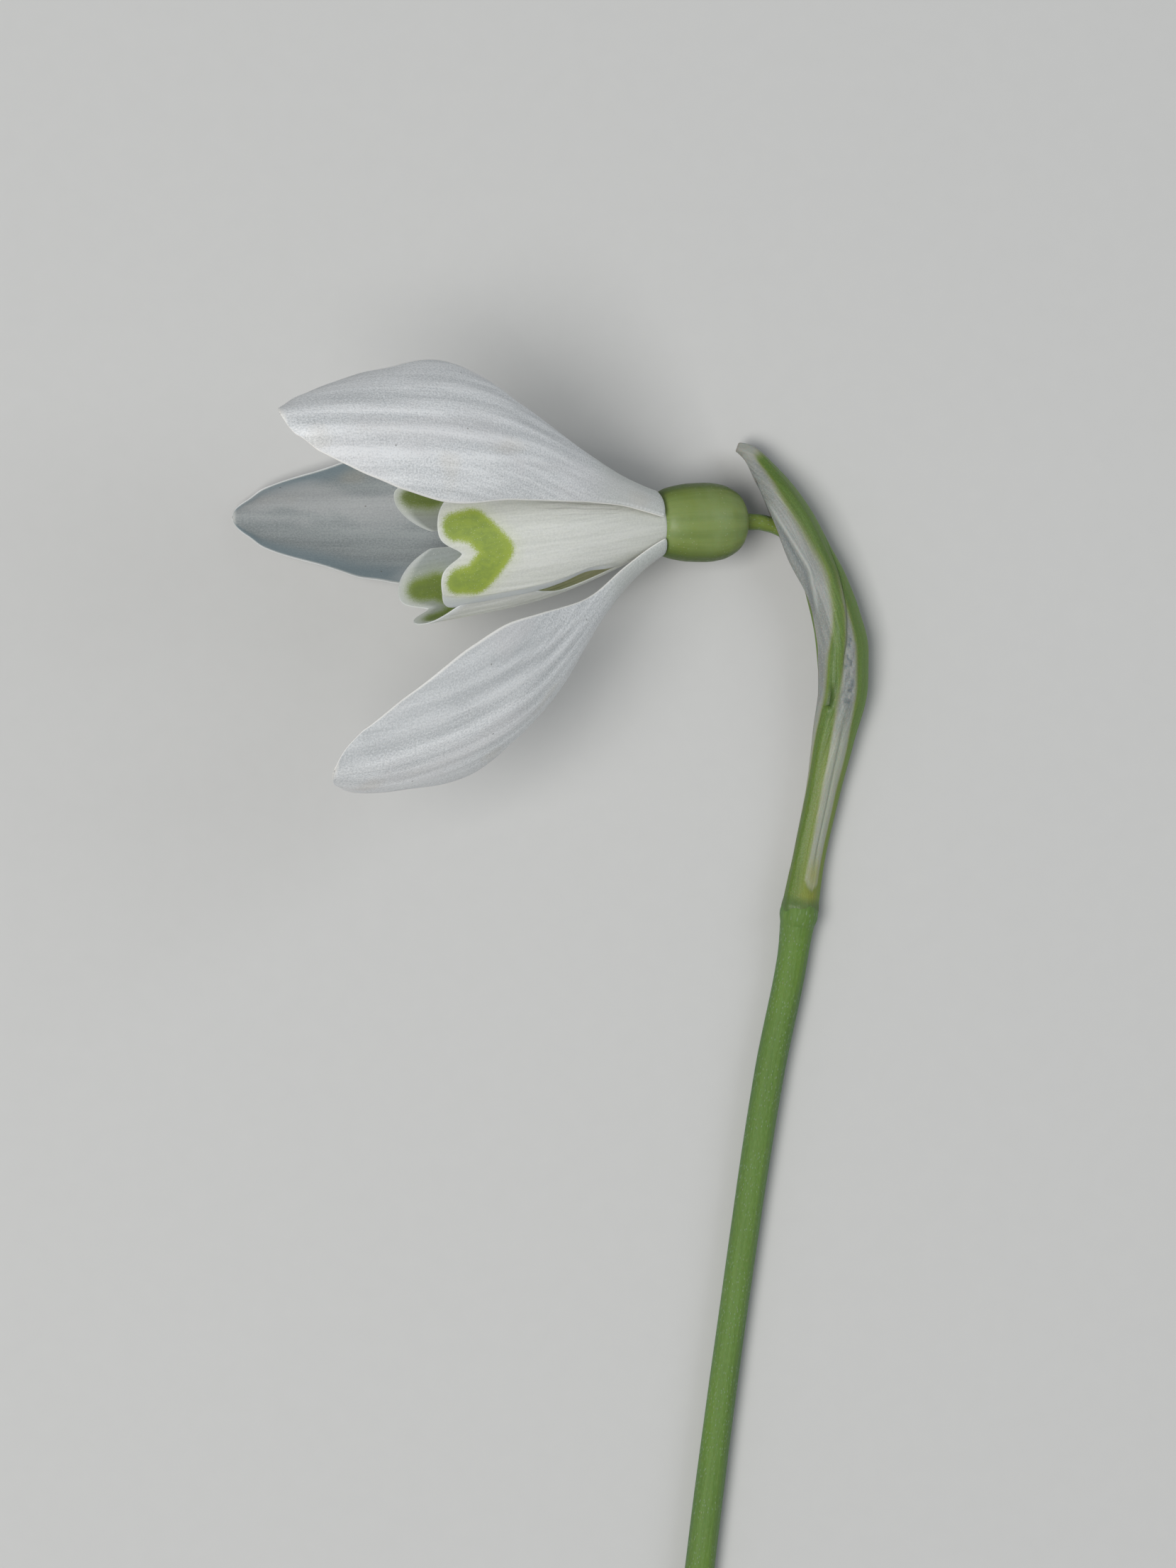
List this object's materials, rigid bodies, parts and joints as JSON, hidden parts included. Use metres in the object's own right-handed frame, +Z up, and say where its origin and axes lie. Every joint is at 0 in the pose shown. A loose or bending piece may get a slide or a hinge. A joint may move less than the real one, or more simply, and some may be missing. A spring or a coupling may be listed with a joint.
{
  "type": "snowdrop flower",
  "caption": "Cut snowdrop flower lying on its side: stem, arching spathe, pedicel, green ovary, spreading white outer tepals round a notched, green-marked cup.",
  "frame": {"origin": "middle of the base, on the surface that the cut flower lies on", "axes": "+Z up from the surface, +Y along the scape from its cut end to the flower, -X towards the open mouth of the flower"},
  "size_m": [0.0328, 0.0665, 0.0205],
  "materials": {
    "scape": "satin",
    "spathe": "satin",
    "pedicel": "satin",
    "ovary": "satin",
    "outer_tepal": "matte",
    "inner_tepal": "matte",
    "stamen": "matte",
    "style": "matte"
  },
  "bodies": {
    "root": {"scape": "scape", "spathe": "spathe", "pedicel": "pedicel", "ovary": "ovary", "outer_tepal_upper": "outer_tepal", "outer_tepal_back": "outer_tepal", "outer_tepal_lower": "outer_tepal", "inner_tepal_front": "inner_tepal", "inner_tepal_upper": "inner_tepal", "inner_tepal_lower": "inner_tepal", "stamen_1": "stamen", "stamen_2": "stamen", "stamen_3": "stamen", "stamen_4": "stamen", "stamen_5": "stamen", "stamen_6": "stamen", "style": "style"}
  },
  "joints": []
}
